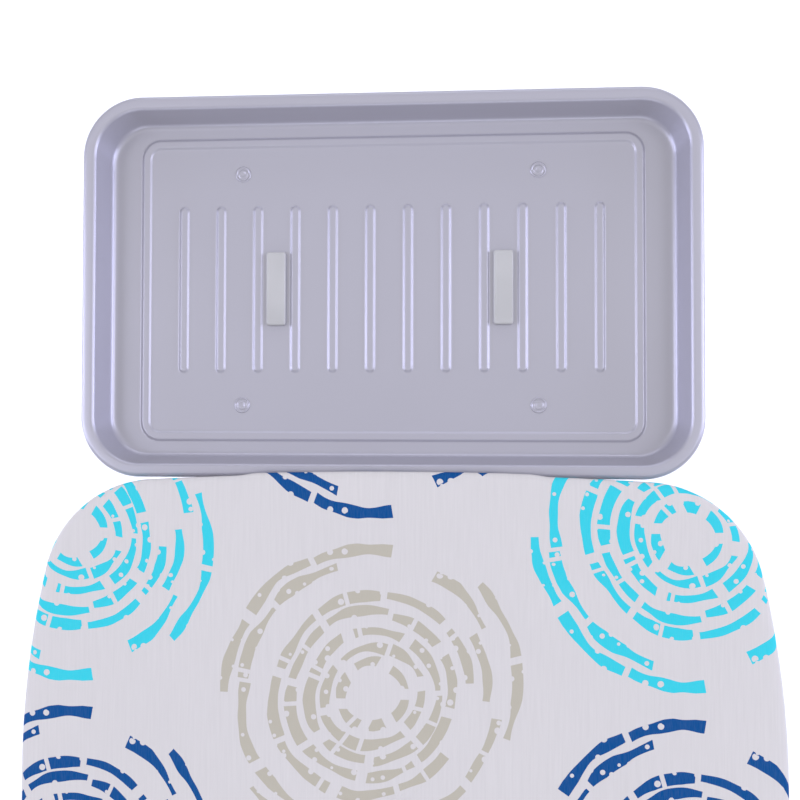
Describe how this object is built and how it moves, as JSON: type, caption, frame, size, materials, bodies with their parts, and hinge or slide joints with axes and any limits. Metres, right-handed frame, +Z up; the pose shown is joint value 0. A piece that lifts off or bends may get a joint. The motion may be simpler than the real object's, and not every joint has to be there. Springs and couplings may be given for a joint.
{
  "type": "ironing board",
  "caption": "Folding ironing board with a padded printed cover, perforated steel top, scissor legs and a pressed metal iron rest tray.",
  "frame": {"origin": "on the floor, under the middle of the overall length and width", "axes": "+Z up, +Y from the nose towards the iron rest along the board's length, +X across the board"},
  "size_m": [0.442, 1.4255, 0.88],
  "materials": {
    "cover_fabric": "woven cotton, printed with broken rings",
    "felt": "needled felt",
    "tray_lacquer": "semi-gloss metallic lacquer",
    "frame_paint": "satin powder coat",
    "zinc": "zinc plated",
    "silicone": "translucent silicone",
    "foot_rubber": "matt moulded rubber",
    "nylon": "natural nylon",
    "moulding": "moulded, fine grain"
  },
  "bodies": {
    "board": {"cover": "cover_fabric", "underlay_felt": "felt", "cover_elastic": "moulding", "arm_end_caps": "moulding", "pivot_caps": "moulding", "iron_tray": "tray_lacquer", "tray_rivets": "tray_lacquer", "perforated_panel": "frame_paint", "frame_end_tube": "frame_paint", "frame_side_tube_left": "frame_paint", "frame_side_tube_right": "frame_paint", "frame_nose_tube": "frame_paint", "cross_member_1": "frame_paint", "cross_member_2": "frame_paint", "cross_member_3": "frame_paint", "cross_member_4": "frame_paint", "cross_member_5": "frame_paint", "cross_member_6": "frame_paint", "tray_arm_left": "frame_paint", "tray_arm_right": "frame_paint", "leg_bracket_left": "frame_paint", "leg_bracket_right": "frame_paint", "guide_rail_left": "frame_paint", "guide_rail_right": "frame_paint", "rack_strip": "frame_paint", "arm_bolts": "zinc", "arm_spacers": "zinc", "bracket_rivets": "zinc", "pivot_rod": "zinc", "rail_rivets": "zinc", "tray_pad_left": "silicone", "tray_pad_right": "silicone"},
    "outer_leg": {"outer_leg_left": "frame_paint", "outer_leg_right": "frame_paint", "outer_knuckles": "moulding", "outer_foot_bar": "frame_paint", "outer_brace": "frame_paint", "outer_foot_caps": "foot_rubber", "scissor_bolts": "zinc", "scissor_nuts": "zinc", "scissor_spacers": "nylon"},
    "inner_leg": {"inner_leg_left": "frame_paint", "inner_leg_right": "frame_paint", "inner_knuckles": "moulding", "inner_foot_bar": "frame_paint", "inner_brace": "frame_paint", "inner_foot_caps": "foot_rubber", "slide_bar": "zinc", "slide_glides": "nylon"},
    "latch_carriage": {"latch_carriage": "frame_paint", "lever_pivot_pin": "zinc", "lever_spring": "zinc"},
    "height_lever": {"height_lever": "frame_paint", "lever_grip": "moulding"}
  },
  "joints": [
    {"name": "leg_fold", "type": "hinge", "parent": "board", "child": "outer_leg", "pos_m": [0, 0.3572, 0.834], "axis": [-1, 0, 0], "range_deg": [0, 50.98]},
    {"name": "scissor_pivot", "type": "hinge", "parent": "outer_leg", "child": "inner_leg", "pos_m": [0, 0.12768, 0.5064], "axis": [-1, 0, 0], "range_deg": [-102.07, 0]},
    {"name": "carriage_pivot", "type": "hinge", "parent": "inner_leg", "child": "latch_carriage", "pos_m": [0, -0.10183, 0.834], "axis": [-1, 0, 0], "range_deg": [0, 51.08]},
    {"name": "lever_squeeze", "type": "hinge", "parent": "latch_carriage", "child": "height_lever", "pos_m": [0.06, -0.13583, 0.812], "axis": [0, -1, 0], "range_deg": [-6, 12], "stiffness_Nm_per_rad": 3, "springref_deg": -14.32}
  ],
  "couplings": [
    {"joint": "scissor_pivot", "follows": "leg_fold", "ratio": -2},
    {"joint": "carriage_pivot", "follows": "leg_fold", "ratio": 1}
  ]
}
